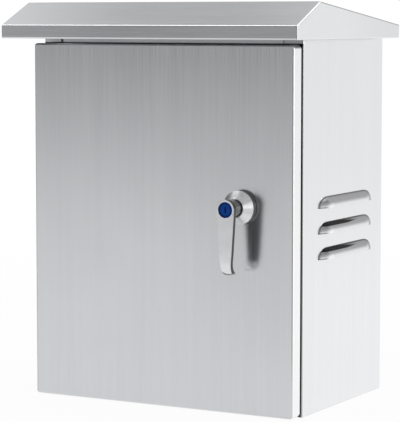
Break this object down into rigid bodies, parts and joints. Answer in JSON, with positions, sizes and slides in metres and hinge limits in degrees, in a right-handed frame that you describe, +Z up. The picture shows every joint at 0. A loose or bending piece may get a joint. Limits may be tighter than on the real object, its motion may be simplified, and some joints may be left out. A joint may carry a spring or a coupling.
{
  "type": "outdoor distribution box",
  "caption": "Wall-mounted stainless steel enclosure with a sloped rain hood, an overlay door on concealed hinges, a keyed turn-handle lock and pressed side louvres.",
  "frame": {"origin": "centre of the four wall holes, on the back face", "axes": "+Y into the wall, +Z up, +X to the right of someone facing the door"},
  "size_m": [0.45, 0.3192, 0.5424],
  "materials": {
    "stainless_sheet": "brushed stainless sheet, fine vertical grain",
    "zinc_plated_steel": "bright zinc-plated fasteners and lock works",
    "hinge_steel": "plain stainless hinge leaves",
    "lock_chrome": "satin chromed zinc casting",
    "blue_plastic": "blue moulded plug cap",
    "brass_parts": "plain turned brass",
    "galvanised_plate": "galvanised sheet with faint spangle",
    "foam_seal": "foamed sealing strip",
    "black_rubber": "matt black rubber"
  },
  "bodies": {
    "enclosure": {"body_wrap": "stainless_sheet", "vent_screen_left": "foam_seal", "vent_screen_right": "foam_seal", "top_panel": "stainless_sheet", "bottom_panel": "stainless_sheet", "rain_hood": "stainless_sheet", "hood_bracket_left": "stainless_sheet", "hood_bracket_right": "stainless_sheet", "hood_bolts": "zinc_plated_steel", "hood_seal_washers": "black_rubber", "hood_nuts": "zinc_plated_steel", "upper_hinge_body_leaf": "hinge_steel", "upper_hinge_pin": "zinc_plated_steel", "lower_hinge_body_leaf": "hinge_steel", "lower_hinge_pin": "zinc_plated_steel", "hinge_screws": "zinc_plated_steel", "hinge_nuts": "zinc_plated_steel", "mounting_plate": "galvanised_plate", "plate_studs": "zinc_plated_steel", "plate_washers": "zinc_plated_steel", "plate_nuts": "zinc_plated_steel", "gland_plate": "stainless_sheet", "gland_gasket": "black_rubber", "gland_studs": "zinc_plated_steel", "gland_nuts": "zinc_plated_steel", "cable_grommets": "black_rubber", "earth_stud": "brass_parts", "earth_washer": "brass_parts", "earth_nut": "brass_parts"},
    "door": {"door_panel": "stainless_sheet", "door_gasket": "foam_seal", "upper_hinge_door_leaf": "hinge_steel", "lower_hinge_door_leaf": "hinge_steel", "lock_rosette": "lock_chrome", "lock_seal": "black_rubber", "lock_washer": "zinc_plated_steel", "lock_nut": "zinc_plated_steel", "door_earth_stud": "brass_parts", "door_earth_washer": "brass_parts", "door_earth_nut": "brass_parts"},
    "handle": {"lock_handle": "lock_chrome", "lock_spindle": "zinc_plated_steel", "lock_cam": "zinc_plated_steel", "cam_washer": "zinc_plated_steel", "cam_screw": "zinc_plated_steel"},
    "key_barrel": {"key_plug": "brass_parts", "plug_cap": "blue_plastic"}
  },
  "joints": [
    {"name": "door_swing", "type": "hinge", "parent": "enclosure", "child": "door", "pos_m": [-0.1934, -0.2642, 0], "axis": [0, 0, -1], "range_deg": [0, 115]},
    {"name": "handle_turn", "type": "hinge", "parent": "door", "child": "handle", "pos_m": [0.1234, -0.2747, 0.0255], "axis": [0, 1, 0], "range_deg": [0, 90]},
    {"name": "key_turn", "type": "hinge", "parent": "handle", "child": "key_barrel", "pos_m": [0.1234, -0.2747, 0.0255], "axis": [0, 1, 0], "range_deg": [0, 90]}
  ]
}
